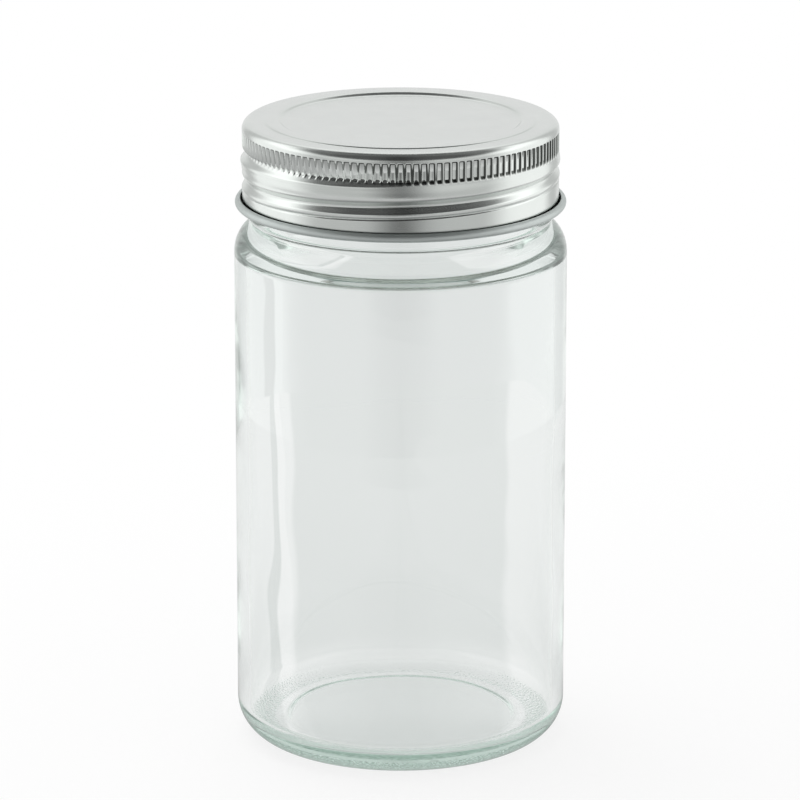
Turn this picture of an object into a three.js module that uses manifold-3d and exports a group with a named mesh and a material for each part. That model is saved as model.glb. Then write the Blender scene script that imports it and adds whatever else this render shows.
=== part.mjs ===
// Straight-sided glass storage jar with a screwed tinplate lid and a sealing ring.
// Millimetres, +Z up, origin at the centre of the base, on the plane that the jar stands on.

import * as THREE from 'three';
import { mergeVertices } from 'three/addons/utils/BufferGeometryUtils.js';
import Module from 'manifold-3d';

const wasm = await Module();
wasm.setup();

// Jar body
const body_overhang = 1.95; // body beyond the lid's skirt, on the radius
const body_wall = 2.8;
const wall_top = 115.2; // where the straight wall turns into the shoulder
const heel_radius = 9; // rounding from the wall to the base
const inner_heel_radius = 3;
const bearing_width = 1.8; // flat ring that the jar stands on
const push_up = 0.5; // hollow in the middle of the base
const hollow_edge = 0.8; // width of the slope round the hollow
const base_glass = 5.2; // glass at the middle of the base

// Jar shoulder and mouth
const shoulder_radius = 8;
const neck_fillet = 1.2;
const inner_shoulder_drop = 1.3; // start of the inner shoulder below that of the outer one
const inner_shoulder_radius = 1.3;
const ceiling_slope = 10; // degrees that the inner shoulder rises towards the mouth
const bore_fillet = 1.2;
const finish_wall = 3.4; // glass behind the thread
const rim_rounding = 1.2;
const bead_width = 4; // rounded bead at the foot of the neck
const bead_reach = 0.9; // bead beyond the neck, on the radius

// Lid, drawn from one piece of sheet
const skirt_radius = 36.05;
const sheet = 0.3;
const lid_height = 20.3;
const lid_lift = 3; // lower edge of the lid above the foot of the neck
const corner_radius = 2.25;
const rim_width = 1.8; // flat ring inside the corner
const rim_step_width = 1.5; // soft step up to the crown
const rim_step_height = 0.36;
const crown_width = 2.1; // highest flat ring, round the sunk panel
const panel_step_width = 2.4; // soft step down to the panel
const panel_depth = 0.7;
const curl_radius = 1.07; // rolled edge
const curl_end_angle = 105; // where the roll stops, short of closing on the skirt

// Fine grip flutes under the lid's corner
const flute_count = 130;
const flute_depth = 0.3;
const flute_set_back = 0.1; // crests of the flutes inside the skirt
const flute_ledge = 0.05; // ledge at each end of the band, inside the flutes
const flute_band = 4.1; // height of the fluted band
const flute_drop = 0.4; // top of the band below the end of the corner

// Screw thread, right-hand, rolled into the lid and moulded on the jar
const thread_pitch = 6.35;
const thread_width = 3.4;
const thread_depth = 1.05;
const thread_start_angle = 147; // degrees from +X
const thread_run_out = 50; // degrees over which each end fades away
const thread_gap = 2.9; // between the bead and the start of the lid's thread
const thread_stop = 3.27; // end of the jar's thread below its rim

// Sealing ring and clearances
const ring_thickness = 1;
const seat_gap = 0.3; // between pieces that bear on each other
const crest_clearance = 0.25; // jar thread to the narrowest place in the lid
const root_clearance = 0.6; // lid thread to jar wall

// Fineness of the round forms
const round_segments = 48;
const thread_steps = 4;

// Sizes that follow from those above
const joint_overlap = sheet / 3; // how far joined bodies reach into each other
const lid_inner_radius = skirt_radius - sheet;
const finish_radius = lid_inner_radius - thread_depth - root_clearance;
const flute_crest = skirt_radius - flute_set_back;
const ledge_radius = flute_crest - flute_depth - sheet - flute_ledge;
const crest_radius = ledge_radius - crest_clearance;
const bore_radius = finish_radius - finish_wall;
const body_radius = skirt_radius + body_overhang;
const inner_radius = body_radius - body_wall;
const floor_height = push_up + base_glass;
const shoulder_centre = body_radius - shoulder_radius;
const fillet_offset = finish_radius + neck_fillet - shoulder_centre;
const fillet_climb = Math.sqrt((shoulder_radius + neck_fillet) ** 2 - fillet_offset ** 2);
const neck_foot = wall_top + fillet_climb;
const bead_height = neck_foot + bead_width / 2;
const lid_bottom = neck_foot + lid_lift;
const lid_top = lid_bottom + lid_height;
const rim_top = lid_top - rim_step_height;
const panel_top = lid_top - panel_depth;
const corner_centre = skirt_radius - corner_radius;
const rim_inside = corner_centre - rim_width;
const crown_outside = rim_inside - rim_step_width;
const panel_edge = crown_outside - crown_width;
const panel_radius = panel_edge - panel_step_width;
const ring_top = rim_top - sheet - seat_gap;
const rim_height = ring_top - ring_thickness - seat_gap;
const lid_thread_height = bead_height + bead_width / 2 + thread_gap + thread_width / 2;
const jar_thread_height = lid_thread_height + thread_width / 2;
const thread_turns = (rim_height - thread_stop - jar_thread_height) / thread_pitch;

// A point of a profile: its radius and its height
function point(radius, height) {
  return new THREE.Vector2(radius, height);
}

// Points of an oval arc in the profile plane; angles in degrees
function oval_arc(centre_x, centre_y, reach_x, reach_y, from, to, steps) {
  const { degToRad } = THREE.MathUtils;
  const clockwise = to < from;
  const curve = new THREE.EllipseCurve(
    centre_x, centre_y, reach_x, reach_y, degToRad(from), degToRad(to), clockwise,
  );
  return curve.getPoints(steps);
}

function arc(centre_x, centre_y, radius, from, to, steps) {
  return oval_arc(centre_x, centre_y, radius, radius, from, to, steps);
}

// A profile goes round its section against the clock, from the axis to the axis or closed
function revolve(profile) {
  return new THREE.LatheGeometry(profile, round_segments).rotateX(Math.PI / 2);
}

// The same closed surface as a body that can be joined and cut
function to_body(geometry) {
  const bare = geometry.clone();
  bare.deleteAttribute('normal');
  bare.deleteAttribute('uv');
  const merged = mergeVertices(bare);
  const corners = merged.index.array;
  const faces = [];
  for (let i = 0; i < corners.length; i += 3) {
    const [a, b, c] = corners.slice(i, i + 3);
    if (a !== b && b !== c && c !== a) faces.push(a, b, c);
  }
  const mesh = new wasm.Mesh({
    numProp: 3,
    vertProperties: merged.attributes.position.array,
    triVerts: new Uint32Array(faces),
  });
  return new wasm.Manifold(mesh);
}

function to_geometry(body) {
  const mesh = body.getMesh();
  const geometry = new THREE.BufferGeometry();
  geometry.setAttribute('position', new THREE.BufferAttribute(mesh.vertProperties, 3));
  geometry.setIndex(new THREE.BufferAttribute(mesh.triVerts, 1));
  geometry.computeVertexNormals();
  return geometry;
}

// A rounded thread form carried up a right-hand helix and faded out at both ends.
// It rises by depth from the wall at wall_radius, and its flat back lies at back_radius.
function thread(wall_radius, back_radius, depth, start_height) {
  const side = Math.sign(wall_radius - back_radius);
  const start = THREE.MathUtils.degToRad(thread_start_angle);
  const sweep = thread_turns * 2 * Math.PI;
  const run_out = THREE.MathUtils.degToRad(thread_run_out);
  const sections = Math.round(thread_turns * round_segments);
  const across = thread_steps + 3;
  const positions = [];
  const faces = [];
  for (let i = 0; i <= sections; i += 1) {
    const turned = sweep * i / sections;
    const angle = start + turned;
    const fade_in = THREE.MathUtils.smoothstep(turned, 0, run_out);
    const fade_out = THREE.MathUtils.smoothstep(sweep - turned, 0, run_out);
    const middle = start_height + thread_pitch * turned / (2 * Math.PI);
    const place = (radius, along) => {
      const height = middle + side * along * thread_width / 2;
      positions.push(radius * Math.cos(angle), radius * Math.sin(angle), height);
    };
    for (let j = 0; j <= thread_steps; j += 1) {
      const along = 2 * j / thread_steps - 1;
      const form = (1 + Math.cos(Math.PI * along)) / 2;
      const rise = (depth + joint_overlap) * form * fade_in * fade_out - joint_overlap;
      place(wall_radius + side * rise, along);
    }
    place(back_radius, 1);
    place(back_radius, -1);
  }
  for (let i = 0; i < sections; i += 1) {
    for (let j = 0; j < across; j += 1) {
      const a = i * across + j;
      const b = i * across + (j + 1) % across;
      faces.push(a, a + across, b + across, a, b + across, b);
    }
  }
  const last = sections * across;
  for (let j = 1; j < across - 1; j += 1) {
    faces.push(0, j, j + 1, last, last + j + 1, last + j);
  }
  const geometry = new THREE.BufferGeometry();
  geometry.setAttribute('position', new THREE.Float32BufferAttribute(positions, 3));
  geometry.setIndex(faces);
  return to_body(geometry);
}

// Outline of the flutes: a crest at the given radius and a root by turns
function flute_outline(crest) {
  const outline = [];
  for (let i = 0; i < 2 * flute_count; i += 1) {
    const angle = Math.PI * i / flute_count;
    const radius = i % 2 ? crest - flute_depth : crest;
    outline.push(point(radius * Math.cos(angle), radius * Math.sin(angle)));
  }
  return outline;
}

// A tube of sheet that is fluted inside and outside, between two heights
function fluted_tube(bottom, top) {
  const outline = new THREE.Shape(flute_outline(flute_crest));
  outline.holes.push(new THREE.Path(flute_outline(flute_crest - sheet)));
  const settings = { depth: top - bottom, bevelEnabled: false };
  return to_body(new THREE.ExtrudeGeometry(outline, settings).translate(0, 0, bottom));
}

// Jar: pressed and blown glass with a hollowed base, a round shoulder and a threaded mouth
function make_jar() {
  const heel_centre = body_radius - heel_radius;
  const bearing_inside = heel_centre - bearing_width;
  const fillet_angle = THREE.MathUtils.radToDeg(Math.atan2(fillet_climb, fillet_offset));
  const fillet_centre = finish_radius + neck_fillet;
  const slope = THREE.MathUtils.degToRad(ceiling_slope);
  const inner_shoulder_centre = inner_radius - inner_shoulder_radius;
  const inner_shoulder_foot = wall_top - inner_shoulder_drop;
  const bore_corner = bore_radius + bore_fillet;
  const ceiling_outside = inner_shoulder_centre + inner_shoulder_radius * Math.sin(slope);
  const ceiling_inside = bore_corner - bore_fillet * Math.sin(slope);
  const ceiling_rise = (ceiling_outside - ceiling_inside) * Math.tan(slope);
  const bend_rise = (inner_shoulder_radius + bore_fillet) * Math.cos(slope);
  const bore_foot = inner_shoulder_foot + bend_rise + ceiling_rise;
  const rim_bottom = rim_height - rim_rounding;
  const inner_heel_centre = inner_radius - inner_heel_radius;
  const profile = [
    point(0, push_up),
    point(bearing_inside - hollow_edge, push_up),
    point(bearing_inside, 0),
    ...arc(heel_centre, heel_radius, heel_radius, 270, 360, 6),
    ...arc(shoulder_centre, wall_top, shoulder_radius, 0, fillet_angle, 5),
    ...arc(fillet_centre, neck_foot, neck_fillet, fillet_angle + 180, 180, 2).slice(1),
    ...oval_arc(finish_radius, bead_height, bead_reach, bead_width / 2, -90, 90, 5).slice(1),
    ...arc(finish_radius - rim_rounding, rim_bottom, rim_rounding, 0, 90, 3),
    ...arc(bore_radius + rim_rounding, rim_bottom, rim_rounding, 90, 180, 3),
    ...arc(bore_corner, bore_foot, bore_fillet, 180, 270 - ceiling_slope, 3),
    ...arc(inner_shoulder_centre, inner_shoulder_foot, inner_shoulder_radius, 90 - ceiling_slope, 0, 3),
    ...arc(inner_heel_centre, floor_height + inner_heel_radius, inner_heel_radius, 0, -90, 4),
    point(0, floor_height),
  ];
  const back_radius = finish_radius - finish_wall / 2;
  const ridge = thread(finish_radius, back_radius, crest_radius - finish_radius, jar_thread_height);
  return to_geometry(to_body(revolve(profile)).add(ridge));
}

// A soft step of the sheet from one radius and height to another
function soft_step(inside, inside_height, outside, outside_height) {
  const middle = (inside + outside) / 2;
  const curve = new THREE.CubicBezierCurve(
    point(inside, inside_height), point(middle, inside_height),
    point(middle, outside_height), point(outside, outside_height),
  );
  return curve.getPoints(3);
}

// Lid: sunk panel, raised crown, rounded corner, fluted band, rolled thread and outward curl in one sheet
function make_lid() {
  const corner_height = lid_top - corner_radius;
  const corner_rise = rim_top - corner_height;
  const band_top = corner_height - flute_drop;
  const band_bottom = band_top - flute_band;
  const curl_centre = lid_inner_radius + curl_radius;
  const curl_height = lid_bottom + curl_radius;
  const curl_end = 360 + curl_end_angle;
  const top_steps = (lift) => [
    ...soft_step(panel_radius, panel_top + lift, panel_edge, lid_top + lift),
    ...soft_step(crown_outside, lid_top + lift, rim_inside, rim_top + lift),
  ];
  const cap = [
    point(0, panel_top - sheet),
    ...top_steps(-sheet),
    ...oval_arc(corner_centre, corner_height, corner_radius - sheet, corner_rise - sheet, 90, 0, 3),
    point(lid_inner_radius, band_top + sheet),
    point(ledge_radius, band_top + sheet),
    point(ledge_radius, band_top),
    point(skirt_radius, band_top),
    ...oval_arc(corner_centre, corner_height, corner_radius, corner_rise, 0, 90, 4),
    ...top_steps(0).reverse(),
    point(0, panel_top),
  ];
  const skirt = [
    point(skirt_radius, band_bottom),
    point(ledge_radius, band_bottom),
    point(ledge_radius, band_bottom - sheet),
    point(lid_inner_radius, band_bottom - sheet),
    ...arc(curl_centre, curl_height, curl_radius, 180, curl_end, 7),
    ...arc(curl_centre, curl_height, curl_radius - sheet, curl_end, 180, 5),
    point(skirt_radius, band_bottom),
  ];
  const mid_sheet = lid_inner_radius + sheet / 2;
  const outside = skirt_radius + thread_depth;
  const band = fluted_tube(band_bottom - sheet / 2, band_top + sheet / 2);
  const inner_thread = thread(lid_inner_radius, mid_sheet, thread_depth, lid_thread_height);
  const outer_groove = thread(skirt_radius, outside, thread_depth, lid_thread_height);
  const drawn = to_body(revolve(cap)).add(band).add(to_body(revolve(skirt)));
  return to_geometry(drawn.add(inner_thread).subtract(outer_groove));
}

// Sealing ring: a flat ring between the lid and the rim of the jar
function make_sealing_ring() {
  const inside = panel_edge + seat_gap;
  const outside = corner_centre;
  const bottom = ring_top - ring_thickness;
  const profile = [
    point(inside, bottom),
    point(outside, bottom),
    point(outside, ring_top),
    point(inside, ring_top),
    point(inside, bottom),
  ];
  return revolve(profile);
}

function piece(name, geometry, colour, roughness, metalness) {
  const material = new THREE.MeshStandardMaterial({ color: colour, roughness, metalness });
  const mesh = new THREE.Mesh(geometry, material);
  mesh.name = name;
  return mesh;
}

const storage_jar = new THREE.Group();
storage_jar.add(piece('glass_jar', make_jar(), 0xdfe8e4, 0.05, 0));
storage_jar.add(piece('lid_seal', make_sealing_ring(), 0xe9e6dc, 0.6, 0));
storage_jar.add(piece('lid_shell', make_lid(), 0xc4c9c6, 0.3, 1));

export default storage_jar;
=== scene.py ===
import math

import bpy
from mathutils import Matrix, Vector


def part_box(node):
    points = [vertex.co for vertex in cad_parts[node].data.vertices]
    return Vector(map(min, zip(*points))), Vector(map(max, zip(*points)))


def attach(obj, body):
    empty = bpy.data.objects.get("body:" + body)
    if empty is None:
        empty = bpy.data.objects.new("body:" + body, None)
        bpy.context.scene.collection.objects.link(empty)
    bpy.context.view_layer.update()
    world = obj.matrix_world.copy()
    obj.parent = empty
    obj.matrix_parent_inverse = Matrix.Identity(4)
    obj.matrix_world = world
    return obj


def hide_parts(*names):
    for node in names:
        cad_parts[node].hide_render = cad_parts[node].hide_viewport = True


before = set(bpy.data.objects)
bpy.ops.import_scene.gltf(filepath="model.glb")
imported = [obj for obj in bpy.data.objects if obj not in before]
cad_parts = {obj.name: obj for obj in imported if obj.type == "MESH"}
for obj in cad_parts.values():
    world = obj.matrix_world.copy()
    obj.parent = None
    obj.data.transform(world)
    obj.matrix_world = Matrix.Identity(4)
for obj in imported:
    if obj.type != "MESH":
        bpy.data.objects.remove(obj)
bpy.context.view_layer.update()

# Glass jar: one piece of pale green soda-lime glass, blown in a mould with a pressed mouth.
# It stands on a narrow ring round a shallow hollow, and its heel is finely stippled by the mould.
# Its mouth carries a screw thread and a bead, and everything else is held by it.
mm = 0.001
jar_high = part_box("glass_jar")[1]
body_radius = jar_high.x
rim_height = jar_high.z
body_wall = 2.8 * mm
wall_top = 115.2 * mm
heel_radius = 9 * mm
inner_heel_radius = 3 * mm
bearing_width = 1.8 * mm
push_up = 0.5 * mm
hollow_edge = 2.4 * mm
base_glass = 5.2 * mm
shoulder_radius = 8 * mm
neck_fillet = 1.2 * mm
inner_shoulder_drop = 1.3 * mm
inner_shoulder_radius = 1.3 * mm
inner_shoulder_slope = 80
bore_fillet = 1.2 * mm
finish_radius = 34.1 * mm
finish_wall = 3.4 * mm
rim_rounding = 1.2 * mm
bead_width = 4 * mm
bead_reach = 0.9 * mm
thread_rise = 0.95 * mm
thread_pitch = 6.35 * mm
thread_width = 3.4 * mm
thread_start = math.radians(147)
thread_run_out = math.radians(50)
jar_thread_height = 133.02 * mm
jar_thread_sweep = 1.176 * math.tau
wave_depth = 0.22 * mm
wave_size = 30 * mm
wave_margin = 12 * mm
ripple_depth = 0.4 * mm
stipple_depth = 0.34 * mm
stipple_top = 4.6 * mm
stipple_margin = 1 * mm
glass_index = 1.52
glass_smear = 0.012
glass_green = (0.0, 0.36, 0.2, 1.0)
glass_density = 6.5
lost_light = (0.58, 0.62, 0.60, 1.0)
lost_after = 3.5
glow_in_shoulder = 0.4
jar_columns = 240


def oval(centre, reach, start, end, steps):
    """Points of an oval arc in a section, from one angle to the other in degrees."""
    points = []
    for i in range(steps + 1):
        angle = math.radians(start + (end - start) * i / steps)
        points.append((centre[0] + reach[0] * math.cos(angle), centre[1] + reach[1] * math.sin(angle)))
    return points


def arc(centre, radius, start, end, steps):
    """Points of a round arc in a section."""
    return oval(centre, (radius, radius), start, end, steps)


def bend(corners, steps):
    """Points of a Bezier curve through its first and last corner."""
    points = []
    for i in range(steps + 1):
        row = list(corners)
        share = i / steps
        while len(row) > 1:
            row = [tuple(a + (b - a) * share for a, b in zip(p, q)) for p, q in zip(row, row[1:])]
        points.append(row[0])
    return points


def line(start, end, steps):
    """Points of a straight stretch in a section, both ends included."""
    return bend([start, end], steps)


def soft_step(start, end, steps):
    """Points of a pressed step in a section: level at both ends and steepest in the middle."""
    middle = (start[0] + end[0]) / 2
    return bend([start, (middle, start[1]), (middle, end[1]), end], steps)


def with_columns(points, columns):
    """The same points, each with the number of columns that its ring has."""
    return [(radius, height, columns) for radius, height in points]


def lathe(name, rings):
    """A surface of revolution from rings of (radius, height, columns); a ring of no radius is a pole."""
    vertices = []
    faces = []
    starts = []
    for radius, height, columns in rings:
        starts.append(len(vertices))
        count = columns if radius > 0 else 1
        for i in range(count):
            angle = math.tau * i / count
            vertices.append((radius * math.cos(angle), radius * math.sin(angle), height))
    counts = [b - a for a, b in zip(starts, starts[1:] + [len(vertices)])]
    for low, high, a, b in zip(starts, starts[1:], counts, counts[1:]):
        fine = max(a, b)
        for i in range(fine):
            j = (i + 1) % fine
            corners = [low + i * a // fine, low + j * a // fine, high + j * b // fine, high + i * b // fine]
            faces.append(list(dict.fromkeys(corners)))
    mesh = bpy.data.meshes.new(name)
    mesh.from_pydata(vertices, [], faces)
    mesh.validate()
    mesh.shade_smooth()
    piece = bpy.data.objects.new(name, mesh)
    bpy.context.scene.collection.objects.link(piece)
    return piece


def feed(tree, socket, value):
    """Gives a socket its value: the output of another node, or a plain number or colour."""
    if isinstance(value, bpy.types.NodeSocket):
        tree.links.new(value, socket)
    else:
        socket.default_value = value


def step(tree, operation, *values):
    """One Math node of a tree; a value is a number or the output of another node."""
    node = tree.nodes.new("ShaderNodeMath")
    node.operation = operation
    for socket, value in zip(node.inputs, values):
        feed(tree, socket, value)
    return node.outputs[0]


def product(tree, first, *others):
    """Values of a tree multiplied with each other."""
    total = first
    for other in others:
        total = step(tree, "MULTIPLY", total, other)
    return total


def hypotenuse(tree, across, up):
    """The length of a slanting line from its two sides."""
    return step(tree, "SQRT", step(tree, "ADD", product(tree, across, across), product(tree, up, up)))


def ease(tree, value, start, end):
    """A smooth step of a tree from 0 at start to 1 at end."""
    node = tree.nodes.new("ShaderNodeMapRange")
    node.interpolation_type = "SMOOTHSTEP"
    feed(tree, node.inputs["Value"], value)
    feed(tree, node.inputs["From Min"], start)
    feed(tree, node.inputs["From Max"], end)
    return node.outputs["Result"]


def between(tree, value, low, high):
    """A value from 0 to 1 brought between two ends."""
    node = tree.nodes.new("ShaderNodeMapRange")
    feed(tree, node.inputs["Value"], value)
    feed(tree, node.inputs["To Min"], low)
    feed(tree, node.inputs["To Max"], high)
    return node.outputs["Result"]


def forming_tree(name, sizes):
    """A new tree that takes a surface, its sizes and its material; returns what a shaping step needs."""
    tree = bpy.data.node_groups.new(name, "GeometryNodeTree")
    tree.interface.new_socket("Geometry", in_out="INPUT", socket_type="NodeSocketGeometry")
    for size in sizes:
        tree.interface.new_socket(size, in_out="INPUT", socket_type="NodeSocketFloat")
    tree.interface.new_socket("Material", in_out="INPUT", socket_type="NodeSocketMaterial")
    tree.interface.new_socket("Geometry", in_out="OUTPUT", socket_type="NodeSocketGeometry")
    given = tree.nodes.new("NodeGroupInput")
    parts = tree.nodes.new("ShaderNodeSeparateXYZ")
    tree.links.new(tree.nodes.new("GeometryNodeInputPosition").outputs[0], parts.inputs[0])
    x, y, z = parts.outputs
    place = {"x": x, "y": y, "height": z}
    place["radius"] = hypotenuse(tree, x, y)
    place["azimuth"] = step(tree, "ARCTAN2", y, x)
    return tree, given, place


def close_tree(tree, given, place, outward):
    """Ends a tree: every point moves outward, and the result is plain and has its material."""
    offset = tree.nodes.new("ShaderNodeCombineXYZ")
    for axis in "xy":
        share = step(tree, "DIVIDE", place[axis], place["radius"])
        tree.links.new(product(tree, share, outward), offset.inputs[axis.upper()])
    move = tree.nodes.new("GeometryNodeSetPosition")
    realize = tree.nodes.new("GeometryNodeRealizeInstances")
    finish = tree.nodes.new("GeometryNodeSetMaterial")
    result = tree.nodes.new("NodeGroupOutput")
    tree.links.new(given.outputs["Geometry"], move.inputs["Geometry"])
    tree.links.new(offset.outputs[0], move.inputs["Offset"])
    tree.links.new(move.outputs[0], realize.inputs[0])
    tree.links.new(realize.outputs[0], finish.inputs["Geometry"])
    tree.links.new(given.outputs["Material"], finish.inputs["Material"])
    tree.links.new(finish.outputs[0], result.inputs[0])
    return tree


def helix_tree():
    """Raises or sinks a rounded ridge along a right-hand helix that fades out at both ends."""
    sizes = ("Start height", "Pitch", "Start angle", "Sweep", "Run out", "Width", "Depth", "Least radius")
    tree, given, place = forming_tree("helix", sizes)
    size = given.outputs
    most_turns = 3
    from_start = step(tree, "SUBTRACT", place["azimuth"], size["Start angle"])
    first = step(tree, "FLOORED_MODULO", from_start, math.tau)
    half = product(tree, size["Width"], 0.5)
    total = 0.0
    for turn in range(most_turns):
        turned = step(tree, "ADD", first, turn * math.tau)
        climb = product(tree, size["Pitch"], step(tree, "DIVIDE", turned, math.tau))
        middle = step(tree, "ADD", size["Start height"], climb)
        along = step(tree, "DIVIDE", step(tree, "SUBTRACT", place["height"], middle), half)
        held = step(tree, "MINIMUM", step(tree, "MAXIMUM", along, -1.0), 1.0)
        swing = step(tree, "COSINE", product(tree, held, math.pi))
        ridge = step(tree, "MULTIPLY_ADD", swing, 0.5, 0.5)
        begun = ease(tree, turned, 0.0, size["Run out"])
        left = ease(tree, step(tree, "SUBTRACT", size["Sweep"], turned), 0.0, size["Run out"])
        total = step(tree, "ADD", total, product(tree, ridge, begun, left))
    outside = step(tree, "GREATER_THAN", place["radius"], size["Least radius"])
    return close_tree(tree, given, place, product(tree, total, size["Depth"], outside))


def wave_tree():
    """Slow unevenness of a blown inner wall, fading out towards the mouth and the floor."""
    sizes = ("Depth", "Size", "Margin", "Most radius", "Bottom", "Top")
    tree, given, place = forming_tree("blown waves", sizes)
    size = given.outputs
    noise = tree.nodes.new("ShaderNodeTexNoise")
    noise.inputs["Detail"].default_value = 1.0
    tree.links.new(step(tree, "DIVIDE", 1.0, size["Size"]), noise.inputs["Scale"])
    swing = step(tree, "MULTIPLY_ADD", noise.outputs[0], 2.0, -1.0)
    above = ease(tree, place["height"], size["Bottom"], step(tree, "ADD", size["Bottom"], size["Margin"]))
    below = ease(tree, place["height"], size["Top"], step(tree, "SUBTRACT", size["Top"], size["Margin"]))
    inside = step(tree, "LESS_THAN", place["radius"], size["Most radius"])
    band = product(tree, above, below, inside)
    return close_tree(tree, given, place, product(tree, swing, size["Depth"], band))


def form(piece, tree, material, **sizes):
    """Puts a tree on a piece, with its sizes given by name."""
    modifier = piece.modifiers.new(tree.name, "NODES")
    modifier.node_group = tree
    keys = {item.name: item.identifier for item in tree.interface.items_tree if item.in_out == "INPUT"}
    modifier[keys["Material"]] = material
    for name, value in sizes.items():
        modifier[keys[name.replace("_", " ").capitalize()]] = float(value)


def bake(piece, material):
    """Turns a formed piece into a plain mesh with nothing left on it."""
    bpy.context.view_layer.update()
    solid = bpy.data.meshes.new_from_object(piece.evaluated_get(bpy.context.evaluated_depsgraph_get()))
    piece.modifiers.clear()
    piece.data = solid
    solid.name = piece.name
    solid.materials.clear()
    solid.materials.append(material)
    solid.shade_smooth()


def new_material(name):
    """A bare node material: its tree and its main shader."""
    material = bpy.data.materials.new(name)
    material.use_nodes = True
    return material, material.node_tree, material.node_tree.nodes["Principled BSDF"]


def own_place(tree):
    """The X, Y and Z of a point in its piece's own coordinates."""
    parts = tree.nodes.new("ShaderNodeSeparateXYZ")
    tree.links.new(tree.nodes.new("ShaderNodeTexCoord").outputs["Object"], parts.inputs[0])
    return parts.outputs["X"], parts.outputs["Y"], parts.outputs["Z"]


def noise_field(tree, scale, detail, stretch=(1.0, 1.0, 1.0)):
    """A noise pattern over a piece's own coordinates."""
    place = tree.nodes.new("ShaderNodeTexCoord")
    turn = tree.nodes.new("ShaderNodeMapping")
    turn.inputs["Scale"].default_value = stretch
    noise = tree.nodes.new("ShaderNodeTexNoise")
    noise.inputs["Scale"].default_value = scale
    noise.inputs["Detail"].default_value = detail
    tree.links.new(place.outputs["Object"], turn.inputs[0])
    tree.links.new(turn.outputs[0], noise.inputs["Vector"])
    return noise.outputs[0]


def relief(tree, height, strength, depth):
    """A fine relief of a surface, as a Bump node."""
    node = tree.nodes.new("ShaderNodeBump")
    feed(tree, node.inputs["Height"], height)
    feed(tree, node.inputs["Strength"], strength)
    feed(tree, node.inputs["Distance"], depth)
    return node


def pale_green_glass():
    """Clear bottle glass: a faint green in its depth, a skin that ripples slightly and a stippled heel.

    Light thrown about in the glass for longer than the renderer follows it counts as a pale green: a painted
    glow, in random patches and weaker in the shoulder.
    """
    material, tree, shader = new_material("pale_green_glass")
    x, y, z = own_place(tree)
    shader.inputs["Base Color"].default_value = (1.0, 1.0, 1.0, 1.0)
    shader.inputs["Transmission Weight"].default_value = 1.0
    shader.inputs["IOR"].default_value = glass_index
    smears = noise_field(tree, scale=60.0, detail=2.0)
    tree.links.new(between(tree, smears, 0.0, glass_smear), shader.inputs["Roughness"])
    streaks = noise_field(tree, scale=70.0, detail=2.0, stretch=(1.0, 1.0, 0.25))
    ripple = relief(tree, streaks, 0.06, ripple_depth)
    low = ease(tree, z, stipple_top, stipple_top * 0.6)
    on_heel = ease(tree, hypotenuse(tree, x, y), heel_centre, heel_centre + stipple_margin)
    dots = noise_field(tree, scale=1300.0, detail=1.0)
    stipple = relief(tree, dots, product(tree, low, on_heel), stipple_depth)
    tree.links.new(ripple.outputs[0], stipple.inputs["Normal"])
    tree.links.new(stipple.outputs[0], shader.inputs["Normal"])
    # Painted glow: an emission on deep glossy bounces, in patches, weaker in the shoulder.
    thrown = tree.nodes.new("ShaderNodeLightPath").outputs["Glossy Depth"]
    lost = step(tree, "GREATER_THAN", thrown, lost_after)
    glow_patches = ease(tree, noise_field(tree, scale=110.0, detail=2.0), 0.42, 0.6)
    in_shoulder = ease(tree, z, wall_top - shoulder_radius, wall_top)
    held = between(tree, in_shoulder, 1.0, glow_in_shoulder)
    shader.inputs["Emission Color"].default_value = lost_light
    glint = product(tree, lost, between(tree, glow_patches, 0.35, 0.95), held)
    tree.links.new(glint, shader.inputs["Emission Strength"])
    depth = tree.nodes.new("ShaderNodeVolumeAbsorption")
    depth.inputs["Color"].default_value = glass_green
    depth.inputs["Density"].default_value = glass_density
    tree.links.new(depth.outputs[0], tree.nodes["Material Output"].inputs["Volume"])
    return material


inner_radius = body_radius - body_wall
inside_floor = push_up + base_glass
heel_centre = body_radius - heel_radius
bearing_inside = heel_centre - bearing_width
hollow_inside = bearing_inside - hollow_edge
shoulder_centre = body_radius - shoulder_radius
fillet_centre = finish_radius + neck_fillet
fillet_climb = math.sqrt((shoulder_radius + neck_fillet) ** 2 - (fillet_centre - shoulder_centre) ** 2)
fillet_angle = math.degrees(math.atan2(fillet_climb, fillet_centre - shoulder_centre))
neck_foot = wall_top + fillet_climb
bore_radius = finish_radius - finish_wall
bead_height = neck_foot + bead_width / 2
bead_head = bead_height + bead_width / 2
rim_bottom = rim_height - rim_rounding
shoulder_inside = inner_radius - inner_shoulder_radius
shoulder_foot = wall_top - inner_shoulder_drop
slope = math.radians(inner_shoulder_slope)
slope_start = shoulder_inside + inner_shoulder_radius * math.cos(slope)
slope_foot = shoulder_foot + inner_shoulder_radius * math.sin(slope)
slope_end = bore_radius + bore_fillet * (1 - math.cos(slope))
slope_head = slope_foot + (slope_start - slope_end) / math.tan(slope)
bore_foot = slope_head + bore_fillet * math.sin(slope)
inner_heel_centre = inner_radius - inner_heel_radius
inner_heel_top = inside_floor + inner_heel_radius

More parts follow.
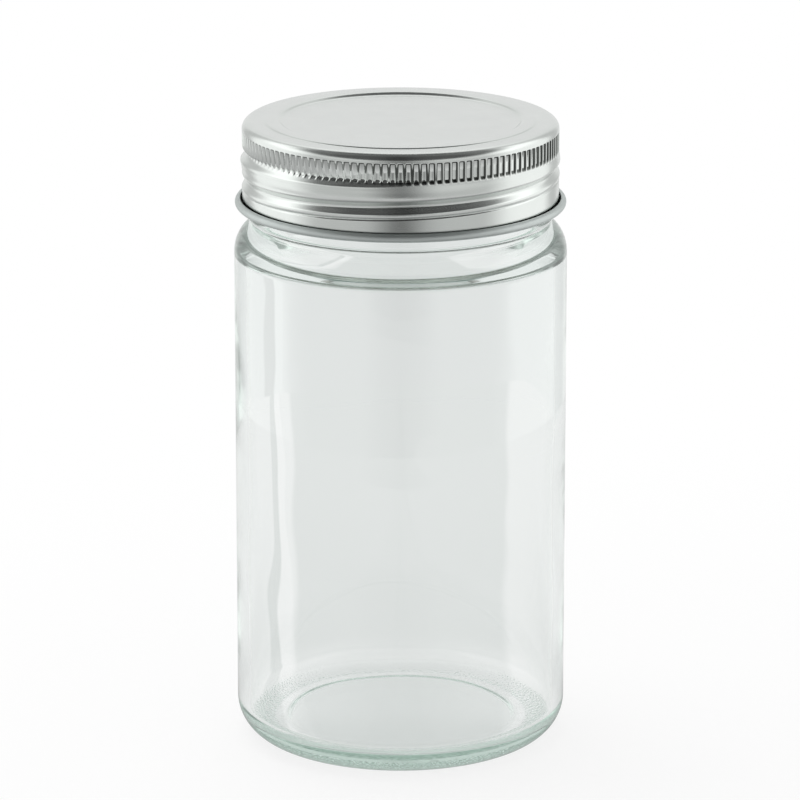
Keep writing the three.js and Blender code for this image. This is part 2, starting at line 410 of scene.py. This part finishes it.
outer_wall = line((0.0, push_up), (hollow_inside, push_up), 8)[:-1]
outer_wall += soft_step((hollow_inside, push_up), (bearing_inside, 0.0), 10)
outer_wall += line((bearing_inside, 0.0), (heel_centre, 0.0), 6)[1:]
outer_wall += arc((heel_centre, heel_radius), heel_radius, 270, 360, 24)[1:]
outer_wall += line((body_radius, heel_radius), (body_radius, wall_top), 8)[1:-1]
outer_wall += arc((shoulder_centre, wall_top), shoulder_radius, 0, fillet_angle, 18)
outer_wall += arc((fillet_centre, neck_foot), neck_fillet, fillet_angle + 180, 180, 8)[1:]
outer_wall += oval((finish_radius, bead_height), (bead_reach, bead_width / 2), -90, 90, 20)[1:]
outer_wall += line((finish_radius, bead_head), (finish_radius, rim_bottom), 32)[1:-1]
outer_wall += arc((finish_radius - rim_rounding, rim_bottom), rim_rounding, 0, 90, 8)
inner_wall = arc((bore_radius + rim_rounding, rim_bottom), rim_rounding, 90, 180, 8)
inner_wall += line((bore_radius, rim_bottom), (bore_radius, bore_foot), 8)[1:-1]
inner_wall += arc((bore_radius + bore_fillet, bore_foot), bore_fillet, 180, 180 + inner_shoulder_slope, 10)
inner_wall += line((slope_end, slope_head), (slope_start, slope_foot), 6)[1:-1]
inner_wall += arc((shoulder_inside, shoulder_foot), inner_shoulder_radius, inner_shoulder_slope, 0, 16)
inner_wall += line((inner_radius, shoulder_foot), (inner_radius, inner_heel_top), 36)[1:-1]
inner_wall += arc((inner_heel_centre, inner_heel_top), inner_heel_radius, 0, -90, 18)
inner_wall += line((inner_heel_centre, inside_floor), (0.0, inside_floor), 10)[1:]

glass = pale_green_glass()
helix = helix_tree()
jar = lathe("jar_of_glass", with_columns(outer_wall + inner_wall, jar_columns))
form(
    jar, helix, glass, start_height=jar_thread_height, pitch=thread_pitch, start_angle=thread_start,
    sweep=jar_thread_sweep, run_out=thread_run_out, width=thread_width, depth=thread_rise,
    least_radius=finish_radius - rim_rounding / 2,
)
form(
    jar, wave_tree(), glass, depth=wave_depth, size=wave_size, margin=wave_margin,
    most_radius=body_radius - body_wall / 2, bottom=inner_heel_top - heel_radius / 2, top=shoulder_foot,
)
bake(jar, glass)
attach(jar, "jar")
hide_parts("glass_jar")

# Sealing ring: a soft cream ring that lies in the channel under the lid's rim.
# It is poured as a paste and cured in place, so its edges are round.
# The jar's rim presses into it as the lid is screwed down.
seal_low, seal_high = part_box("lid_seal")
seal_inside = 28.7 * mm
seal_outside = seal_high.x
seal_rounding = 0.35 * mm
seal_weld = 0.01 * mm
skin_depth = 0.1 * mm
paste_dark = (0.80, 0.76, 0.66, 1.0)
paste_light = (0.87, 0.84, 0.76, 1.0)
seal_columns = 160


def mixed_colour(tree, share, first, second):
    """A mix of two colours; each is a plain colour or the output of another node."""
    node = tree.nodes.new("ShaderNodeMix")
    node.data_type = "RGBA"
    feed(tree, node.inputs[0], share)
    feed(tree, node.inputs[6], first)
    feed(tree, node.inputs[7], second)
    return node.outputs[2]


def cured_paste():
    """Cream sealing paste: matt, with a slightly uneven skin."""
    material, tree, shader = new_material("cured_paste")
    shade = mixed_colour(tree, noise_field(tree, scale=300.0, detail=3.0), paste_dark, paste_light)
    tree.links.new(shade, shader.inputs["Base Color"])
    matt = between(tree, noise_field(tree, scale=500.0, detail=2.0), 0.42, 0.6)
    tree.links.new(matt, shader.inputs["Roughness"])
    skin = relief(tree, noise_field(tree, scale=900.0, detail=3.0), 0.2, skin_depth)
    tree.links.new(skin.outputs[0], shader.inputs["Normal"])
    return material


def ring_corner(radius, height, start):
    """One rounded corner of the ring's section, a quarter turn from its start angle."""
    return arc((radius, height), seal_rounding, start, start + 90, 5)


seal_section = ring_corner(seal_outside - seal_rounding, seal_low.z + seal_rounding, 270)
seal_section += ring_corner(seal_outside - seal_rounding, seal_high.z - seal_rounding, 0)
seal_section += ring_corner(seal_inside + seal_rounding, seal_high.z - seal_rounding, 90)
seal_section += ring_corner(seal_inside + seal_rounding, seal_low.z + seal_rounding, 180)
seal = lathe("sealing_ring", with_columns(seal_section + seal_section[:1], seal_columns))
closing = seal.modifiers.new("closed", "WELD")
closing.merge_threshold = seal_weld
bake(seal, cured_paste())
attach(seal, "seal")
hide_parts("lid_seal")

# Lid: one disc of bright tinplate, drawn to a cap with a sunk panel and a rounded corner.
# Rollers then press in the grip flutes and the screw thread, and curl the cut edge outwards.
# It screws on to the jar's thread and presses the sealing ring on the rim.
lid_low, lid_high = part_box("lid_shell")
lid_top = lid_high.z
skirt_radius = 36.05 * mm
skirt_margin = 1.5 * mm
sheet = 0.25 * mm
corner_radius = 2.25 * mm
lid_rim_width = 5.4 * mm
panel_step_width = 2 * mm
panel_depth = 0.7 * mm
rim_step_inside = 30.5 * mm
rim_step_width = 1.1 * mm
rim_step_depth = 0.36 * mm
curl_radius = 1.07 * mm
curl_end = 105
curl_clearance = 1.2 * mm
flute_count = 130
flute_depth = 0.48 * mm
flute_band = 5.1 * mm
flute_tail = 1.3 * mm
flute_head = 0.4 * mm
flute_drop = 0.2 * mm
ridge_share = 0.1
pocket_share = 0.58
bulge_height = 4 * mm
bulge_reach = 0.25 * mm
lid_thread_height = 131.4 * mm
lid_thread_depth = 0.95 * mm
lid_thread_width = 3.3 * mm
lid_thread_sweep = 1.4 * math.tau
thread_bead_drop = 1.75 * mm
thread_bead_width = 1.5 * mm
thread_bead_rise = 0.14 * mm
crease_drop = 2.65 * mm
crease_width = 0.7 * mm
crease_depth = 0.3 * mm
crease_start = math.radians(200)
crease_sweep = math.radians(230)
crease_run_out = math.radians(12)
grain_depth = 0.02 * mm
tin_dark = (0.70, 0.725, 0.71, 1.0)
tin_light = (0.76, 0.785, 0.765, 1.0)
tin_dull = (0.62, 0.66, 0.65, 1.0)
# Painted shade: a near-black colour laid in the curl, in the fold under it and on the flute flanks.
painted_shade_colour = (0.05, 0.055, 0.05, 1.0)
# The side of the lid where the painted shade on the flutes is strongest.
shaded_side = math.radians(50)
top_columns = 195
flute_columns = 1560
skirt_columns = 260


def flute_tree():
    """Grip flutes round a band of the skirt: narrow upright ridges between flat pockets."""
    sizes = ("Count", "Depth", "Ridge", "Pocket", "Bottom", "Tail", "Top", "Head")
    tree, given, place = forming_tree("grip flutes", sizes)
    size = given.outputs
    turned = step(tree, "DIVIDE", product(tree, place["azimuth"], size["Count"]), math.tau)
    from_ridge = product(tree, step(tree, "PINGPONG", turned, 0.5), 2.0)
    valley = ease(tree, from_ridge, size["Ridge"], size["Pocket"])
    above = ease(tree, place["height"], size["Bottom"], step(tree, "ADD", size["Bottom"], size["Tail"]))
    below = ease(tree, place["height"], size["Top"], step(tree, "SUBTRACT", size["Top"], size["Head"]))
    inward = product(tree, valley, size["Depth"], product(tree, above, below))
    return close_tree(tree, given, place, product(tree, inward, -1.0))


def fold_painted_shade(tree, across, up, facing_out):
    """Painted shade: 1 inside the curl and in the fold between it and the skirt, else 0."""
    roll = curl_centre - skirt_radius
    in_roll = ease(tree, hypotenuse(tree, across, up), roll + sheet * 0.6, roll + sheet * 0.3)
    beside = ease(tree, across, 0.0, -roll * 0.8)
    below = ease(tree, up, curl_radius, curl_radius * 0.8)
    return step(tree, "MAXIMUM", in_roll, product(tree, beside, below, facing_out))


def flute_painted_shade(tree, x, y, in_band):
    """Painted shade on the flanks of the flutes: strong on one side of the lid and faint on the other."""
    sunk = step(tree, "DIVIDE", step(tree, "SUBTRACT", skirt_radius, hypotenuse(tree, x, y)), flute_depth)
    flank = product(tree, ease(tree, sunk, 0.05, 0.2), ease(tree, sunk, 0.99, 0.85))
    across_front = product(tree, x, math.sin(shaded_side) / skirt_radius)
    towards_shaded_side = step(tree, "MULTIPLY_ADD", y, -math.cos(shaded_side) / skirt_radius, across_front)
    painted_dark = ease(tree, towards_shaded_side, -0.5, 0.75)
    return product(tree, flank, in_band, between(tree, painted_dark, 0.1, 0.95))


def bright_tinplate():
    """Tinned steel sheet: a satin metal with a fine grain and a duller curl, with painted shade in its folds
    and on its flute flanks.
    """
    material, tree, shader = new_material("bright_tinplate")
    x, y, z = own_place(tree)
    across = step(tree, "SUBTRACT", hypotenuse(tree, x, y), curl_centre)
    up = step(tree, "SUBTRACT", z, curl_height)
    facing = tree.nodes.new("ShaderNodeSeparateXYZ")
    tree.links.new(tree.nodes.new("ShaderNodeNewGeometry").outputs["True Normal"], facing.inputs[0])
    outward = step(tree, "MULTIPLY_ADD", facing.outputs["Y"], y, product(tree, facing.outputs["X"], x))
    facing_out = step(tree, "GREATER_THAN", outward, 0.0)
    low = ease(tree, z, band_bottom, band_bottom + flute_tail / 2)
    high = ease(tree, z, band_top + flute_drop, band_top)
    in_band = product(tree, low, high)
    outer_half = ease(tree, across, (skirt_radius - curl_centre) * 0.7, (skirt_radius - curl_centre) * 0.4)
    on_curl = product(tree, outer_half, ease(tree, up, curl_radius * 1.6, curl_radius))
    # Painted shade in the curl, the fold and on the flute flanks.
    painted_dark = step(tree, "MAXIMUM", fold_painted_shade(tree, across, up, facing_out), flute_painted_shade(tree, x, y, in_band))
    shade = mixed_colour(tree, noise_field(tree, scale=120.0, detail=3.0), tin_dark, tin_light)
    shade = mixed_colour(tree, on_curl, shade, tin_dull)
    tree.links.new(mixed_colour(tree, painted_dark, shade, painted_shade_colour), shader.inputs["Base Color"])
    shader.inputs["Metallic"].default_value = 1.0
    worn = between(tree, noise_field(tree, scale=260.0, detail=4.0), 0.15, 0.27)
    worn = product(tree, worn, between(tree, in_band, 1.0, 0.4))
    tree.links.new(step(tree, "MULTIPLY_ADD", on_curl, 0.3, worn), shader.inputs["Roughness"])
    grain = relief(tree, noise_field(tree, scale=2600.0, detail=3.0), 0.3, grain_depth)
    tree.links.new(grain.outputs[0], shader.inputs["Normal"])
    return material


corner_centre = skirt_radius - corner_radius
corner_height = lid_top - corner_radius
panel_edge = corner_centre - lid_rim_width
panel_radius = panel_edge - panel_step_width
panel_top = lid_top - panel_depth
rim_step_outside = rim_step_inside + rim_step_width
rim_step_top = lid_top - rim_step_depth
band_top = corner_height - flute_drop
band_bottom = band_top - flute_band
bulge_bottom = band_bottom - bulge_height
bulge_pull = bulge_reach * 2.6
curl_height = lid_low.z + curl_radius
curl_centre = lid_high.x - curl_radius
roll_bottom = curl_height + curl_clearance
crease_climb = thread_pitch * (crease_start - thread_start) / math.tau

top_rings = line((0.0, panel_top), (panel_radius, panel_top), 6)[:-1]
top_rings += soft_step((panel_radius, panel_top), (panel_edge, lid_top), 10)
top_rings += soft_step((rim_step_inside, lid_top), (rim_step_outside, rim_step_top), 8)
top_rings += oval((corner_centre, corner_height), (corner_radius, rim_step_top - corner_height), 90, 0, 12)
fluted_rings = line((skirt_radius, band_top), (skirt_radius, band_top - flute_head), 4)
fluted_rings += line((skirt_radius, band_bottom + flute_tail), (skirt_radius, band_bottom), 6)
skirt_rings = bend([
    (skirt_radius, band_bottom), (skirt_radius, band_bottom - bulge_height * 0.15),
    (skirt_radius + bulge_pull, band_bottom - bulge_height * 0.5),
    (skirt_radius, band_bottom - bulge_height * 0.85), (skirt_radius, bulge_bottom),
], 18)[1:]
skirt_rings += line((skirt_radius, bulge_bottom), (skirt_radius, roll_bottom), 48)[1:]
skirt_rings += line((skirt_radius, roll_bottom), (skirt_radius, curl_height), 4)[1:-1]
skirt_rings += arc((curl_centre, curl_height), curl_centre - skirt_radius, 180, 360 + curl_end, 18)
lid_rings = with_columns(top_rings, top_columns)
lid_rings += with_columns(fluted_rings, flute_columns)
lid_rings += with_columns(skirt_rings, skirt_columns)

tinplate = bright_tinplate()
lid = lathe("screw_lid", lid_rings)
lid.data.flip_normals()
form(
    lid, flute_tree(), tinplate, count=flute_count, depth=flute_depth, ridge=ridge_share,
    pocket=pocket_share, bottom=band_bottom, tail=flute_tail, top=band_top, head=flute_head,
)
form(
    lid, helix, tinplate, start_height=lid_thread_height, pitch=thread_pitch, start_angle=thread_start,
    sweep=lid_thread_sweep, run_out=thread_run_out, width=lid_thread_width, depth=-lid_thread_depth,
    least_radius=skirt_radius - skirt_margin,
)
form(
    lid, helix, tinplate, start_height=lid_thread_height - thread_bead_drop, pitch=thread_pitch,
    start_angle=thread_start, sweep=lid_thread_sweep, run_out=thread_run_out, width=thread_bead_width,
    depth=thread_bead_rise, least_radius=skirt_radius - skirt_margin,
)
form(
    lid, helix, tinplate, start_height=lid_thread_height - crease_drop + crease_climb, pitch=thread_pitch,
    start_angle=crease_start, sweep=crease_sweep, run_out=crease_run_out, width=crease_width,
    depth=-crease_depth, least_radius=skirt_radius - skirt_margin,
)
thickness = lid.modifiers.new("sheet", "SOLIDIFY")
thickness.thickness = sheet
thickness.offset = -1.0
thickness.use_even_offset = True
bake(lid, tinplate)
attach(lid, "lid")
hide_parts("lid_shell")

# Floor: a pale table top that shows white, as paper lit from behind does, and fades into the surround.
# A share of it is plain diffuse white, for the jar's soft shadow, and metal sees it dim near the jar.
# Glass sees it greyer, with painted pale strips at the sides, a painted highlight and shade streak on the
# left and a painted pool of light by the jar.
floor_radius = 0.3
floor_white = 0.8
floor_glow = 0.84
floor_in_metal = 0.35
floor_in_glass = 0.77
glass_shade = (0.0, 0.08, 0.05, 1.0)
back_start = 20 * mm
back_end = 60 * mm
strip_in_glass = 0.89
strip_spread = 0.09
strip_start = 23 * mm
strip_end = 27 * mm
streak_spread = 0.14
streak_places = (21 * mm, 27.5 * mm, 33.5 * mm)
glint_gain = 0.05
streak_loss = 0.15
patch_full = 45 * mm
patch_end = 75 * mm
patch_front = -16 * mm
patch_back = 6 * mm
patch_middle = 8 * mm
patch_side = 22 * mm
patch_middle_gain = 0.075
patch_side_gain = 0.12
floor_columns = 260


def grey(level):
    """A colour without hue."""
    return (level, level, level, 1.0)


def matt_surface(tree, colour):
    """A plain diffuse shader of one colour."""
    node = tree.nodes.new("ShaderNodeBsdfDiffuse")
    node.inputs["Color"].default_value = colour
    return node.outputs[0]


def glowing(tree, colour):
    """A shader that gives off one colour."""
    node = tree.nodes.new("ShaderNodeEmission")
    node.inputs["Color"].default_value = colour
    return node.outputs[0]


def mixed(tree, share, first, second):
    """A mix of two shaders."""
    node = tree.nodes.new("ShaderNodeMixShader")
    tree.links.new(share, node.inputs[0])
    tree.links.new(first, node.inputs[1])
    tree.links.new(second, node.inputs[2])
    return node.outputs[0]


def seen_by(tree, light, gloss, glass, eye):
    """One shader for each kind of ray: plain light, reflections, light through glass, and the eye."""
    path = tree.nodes.new("ShaderNodeLightPath")
    shown = mixed(tree, path.outputs["Is Glossy Ray"], light, gloss)
    shown = mixed(tree, path.outputs["Is Transmission Ray"], shown, glass)
    return mixed(tree, path.outputs["Is Camera Ray"], shown, eye)


def streaked(tree, value, places):
    """A bright line between the first two places of a value, and a darker one up to the third."""
    glint_start, glint_end, streak_end = places
    edge = (streak_end - glint_end) / 5
    begun = ease(tree, value, glint_start, glint_start + edge)
    past = ease(tree, value, glint_end - edge / 2, glint_end + edge / 2)
    done = ease(tree, value, streak_end - edge, streak_end)
    bright = product(tree, begun, glint_gain)
    dark = step(tree, "MULTIPLY_ADD", past, -glint_gain - streak_loss, bright)
    return step(tree, "MULTIPLY_ADD", done, streak_loss, dark)


def floor_share(tree, x, y, away):
    """How much of the floor's white glass shows: painted strips, the painted highlight and shade streak, and
    the painted pool of light under the jar.
    """
    beside = step(tree, "ABSOLUTE", x)
    aside = step(tree, "MULTIPLY_ADD", y, -strip_spread, beside)
    strip = between(tree, ease(tree, aside, strip_start, strip_end), floor_in_glass, strip_in_glass)
    wider = step(tree, "MULTIPLY_ADD", y, -streak_spread, beside)
    # Painted highlight and shade streak, on the left only, seen through the glass.
    streak = product(tree, streaked(tree, wider, streak_places), step(tree, "LESS_THAN", x, 0.0))
    sideways = ease(tree, beside, patch_middle, patch_side)
    lift = between(tree, sideways, patch_middle_gain, patch_side_gain)
    # Painted pool of light under the jar, seen through the glass.
    past_front = ease(tree, y, patch_front, patch_back)
    patch = product(tree, lift, ease(tree, away, patch_end, patch_full), past_front)
    return step(tree, "ADD", step(tree, "ADD", strip, streak), patch)


def lit_paper():
    """White paper: diffuse for the light that falls on it, and nearly white to the eye."""
    material = bpy.data.materials.new("lit_paper")
    material.use_nodes = True
    tree = material.node_tree
    tree.nodes.clear()
    x, y = own_place(tree)[:2]
    away = hypotenuse(tree, x, y)
    lit = tree.nodes.new("ShaderNodeAddShader")
    tree.links.new(matt_surface(tree, grey(1 - floor_glow)), lit.inputs[0])
    tree.links.new(glowing(tree, grey(floor_glow)), lit.inputs[1])
    faded = ease(tree, away, floor_radius / 3, floor_radius * 0.95)
    shown = mixed(tree, faded, lit.outputs[0], glowing(tree, grey(1.0)))
    far = ease(tree, away, floor_radius / 4, floor_radius)
    bright = step(tree, "MAXIMUM", far, ease(tree, y, back_start, back_end))
    dimmed = between(tree, bright, floor_in_metal, floor_in_glass)
    gloss = mixed(tree, dimmed, glowing(tree, grey(0.0)), shown)
    through = mixed(tree, floor_share(tree, x, y, away), glowing(tree, glass_shade), shown)
    surface = seen_by(tree, matt_surface(tree, grey(floor_white)), gloss, through, shown)
    tree.links.new(surface, tree.nodes.new("ShaderNodeOutputMaterial").inputs["Surface"])
    return material


floor = lathe("floor", with_columns([(0.0, 0.0), (floor_radius, 0.0)], floor_columns))
floor.data.flip_normals()
floor.data.materials.append(lit_paper())

# Studio: white to the eye. To gloss it is a soft room with bright panes at the sides, dim towards the camera
# and dark overhead; through glass it is pale, dim towards the camera, with a dark green canopy overhead.
# One broad lamp above gives the plain light that casts the shadow.
room_white = 1.0
room_light = 0.6
gloss_stops = (
    (0.0, 0.19), (0.03, 0.21), (0.11, 0.5), (0.16, 0.6), (0.36, 0.62), (0.48, 1.15),
    (0.72, 1.15), (0.77, 0.6), (0.84, 0.6), (0.88, 0.86),
)
gloss_tint = (1.0, 1.01, 1.0)
gloss_behind = (0.86, 0.86, 0.86, 1.0)
glass_stops = (
    (0.0, 0.35), (0.08, 0.45), (0.16, 0.85), (0.3, 0.87), (0.45, 0.87), (0.968, 0.87), (0.975, 0.79),
)
glass_tint = (0.985, 1.005, 1.0)
glass_behind = (0.768, 0.784, 0.78, 1.0)
canopy_colour = (0.13, 0.2, 0.175, 1.0)
canopy_lean = math.radians(20)
canopy_start = 0.5
canopy_end = 0.72
canopy_loss = 1.1
eaves_start = 0.1
eaves_end = 0.4
eaves_gain = 0.25
room_streak_places = (0.968, 0.957, 0.943)
lamp_size = 0.9
lamp_energy = 6.0
lamp_place = (-0.25, 0.35, 1.1)
lamp_tilt = (math.radians(-18), math.radians(-13), 0.0)


def level_ramp(tree, value, stops, tint, end):
    """Tinted grey levels along a value, from stops of (place, level) to the colour at its end."""
    node = tree.nodes.new("ShaderNodeValToRGB")
    tree.links.new(value, node.inputs[0])
    elements = node.color_ramp.elements
    elements.remove(elements[0])
    elements[0].position = 1.0
    elements[0].color = end
    for position, level in stops:
        elements.new(position).color = (level * tint[0], level * tint[1], level * tint[2], 1.0)
    return node.outputs[0]


def backdrop(tree, colour, strength):
    """A surround of one look."""
    node = tree.nodes.new("ShaderNodeBackground")
    feed(tree, node.inputs["Color"], colour)
    feed(tree, node.inputs["Strength"], strength)
    return node.outputs[0]


def soft_room():
    """The surround, with a look of its own for plain light, for gloss, for glass and for the eye."""
    world = bpy.data.worlds.new("studio")
    world.use_nodes = True
    tree = world.node_tree
    tree.nodes.clear()
    parts = tree.nodes.new("ShaderNodeSeparateXYZ")
    tree.links.new(tree.nodes.new("ShaderNodeTexCoord").outputs["Generated"], parts.inputs[0])
    x, y, z = parts.outputs
    turn = step(tree, "ABSOLUTE", step(tree, "ARCTAN2", x, product(tree, y, -1.0)))
    way_round = step(tree, "DIVIDE", turn, math.pi)
    upward = product(tree, z, math.cos(canopy_lean))
    towards = step(tree, "MULTIPLY_ADD", y, -math.sin(canopy_lean), upward)
    overhead = ease(tree, towards, canopy_start, canopy_end)
    eaves = product(tree, ease(tree, towards, eaves_start, eaves_end), eaves_gain)
    dimmed = step(tree, "MULTIPLY_ADD", overhead, -canopy_loss, step(tree, "ADD", eaves, 1.0))
    gloss = backdrop(tree, level_ramp(tree, way_round, gloss_stops, gloss_tint, gloss_behind), dimmed)
    pale = level_ramp(tree, way_round, glass_stops, glass_tint, glass_behind)
    on_left = step(tree, "LESS_THAN", x, 0.0)
    streak = product(tree, streaked(tree, way_round, room_streak_places), on_left)
    covered = mixed_colour(tree, overhead, pale, canopy_colour)
    through = backdrop(tree, covered, step(tree, "ADD", streak, 1.0))
    light = backdrop(tree, grey(room_light), 1.0)
    white = backdrop(tree, grey(room_white), 1.0)
    surface = seen_by(tree, light, gloss, through, white)
    tree.links.new(surface, tree.nodes.new("ShaderNodeOutputWorld").inputs["Surface"])
    return world


bpy.context.scene.world = soft_room()
lamp = bpy.data.objects.new("broad_lamp", bpy.data.lights.new("broad_lamp", "AREA"))
bpy.context.scene.collection.objects.link(lamp)
lamp.data.size = lamp_size
lamp.data.energy = lamp_energy
lamp.location = lamp_place
lamp.rotation_euler = lamp_tilt
lamp.visible_glossy = False
lamp.visible_transmission = False

# Camera: in front of the jar and above it, with a long lens, level from side to side.
# Its place and lens are fitted to the outlines of lid, shoulder and base.
camera_place = (-0.000134, -1.1469, 0.4001)
camera_pitch = math.radians(74.382)
sensor_width = 36.0
lens_length = 232.73
eye = bpy.data.objects.new("camera", bpy.data.cameras.new("camera"))
bpy.context.scene.collection.objects.link(eye)
eye.location = camera_place
eye.rotation_euler = (camera_pitch, 0.0, 0.0)
eye.data.sensor_width = sensor_width
eye.data.lens = lens_length
bpy.context.scene.camera = eye
bpy.context.scene.view_settings.view_transform = "Standard"
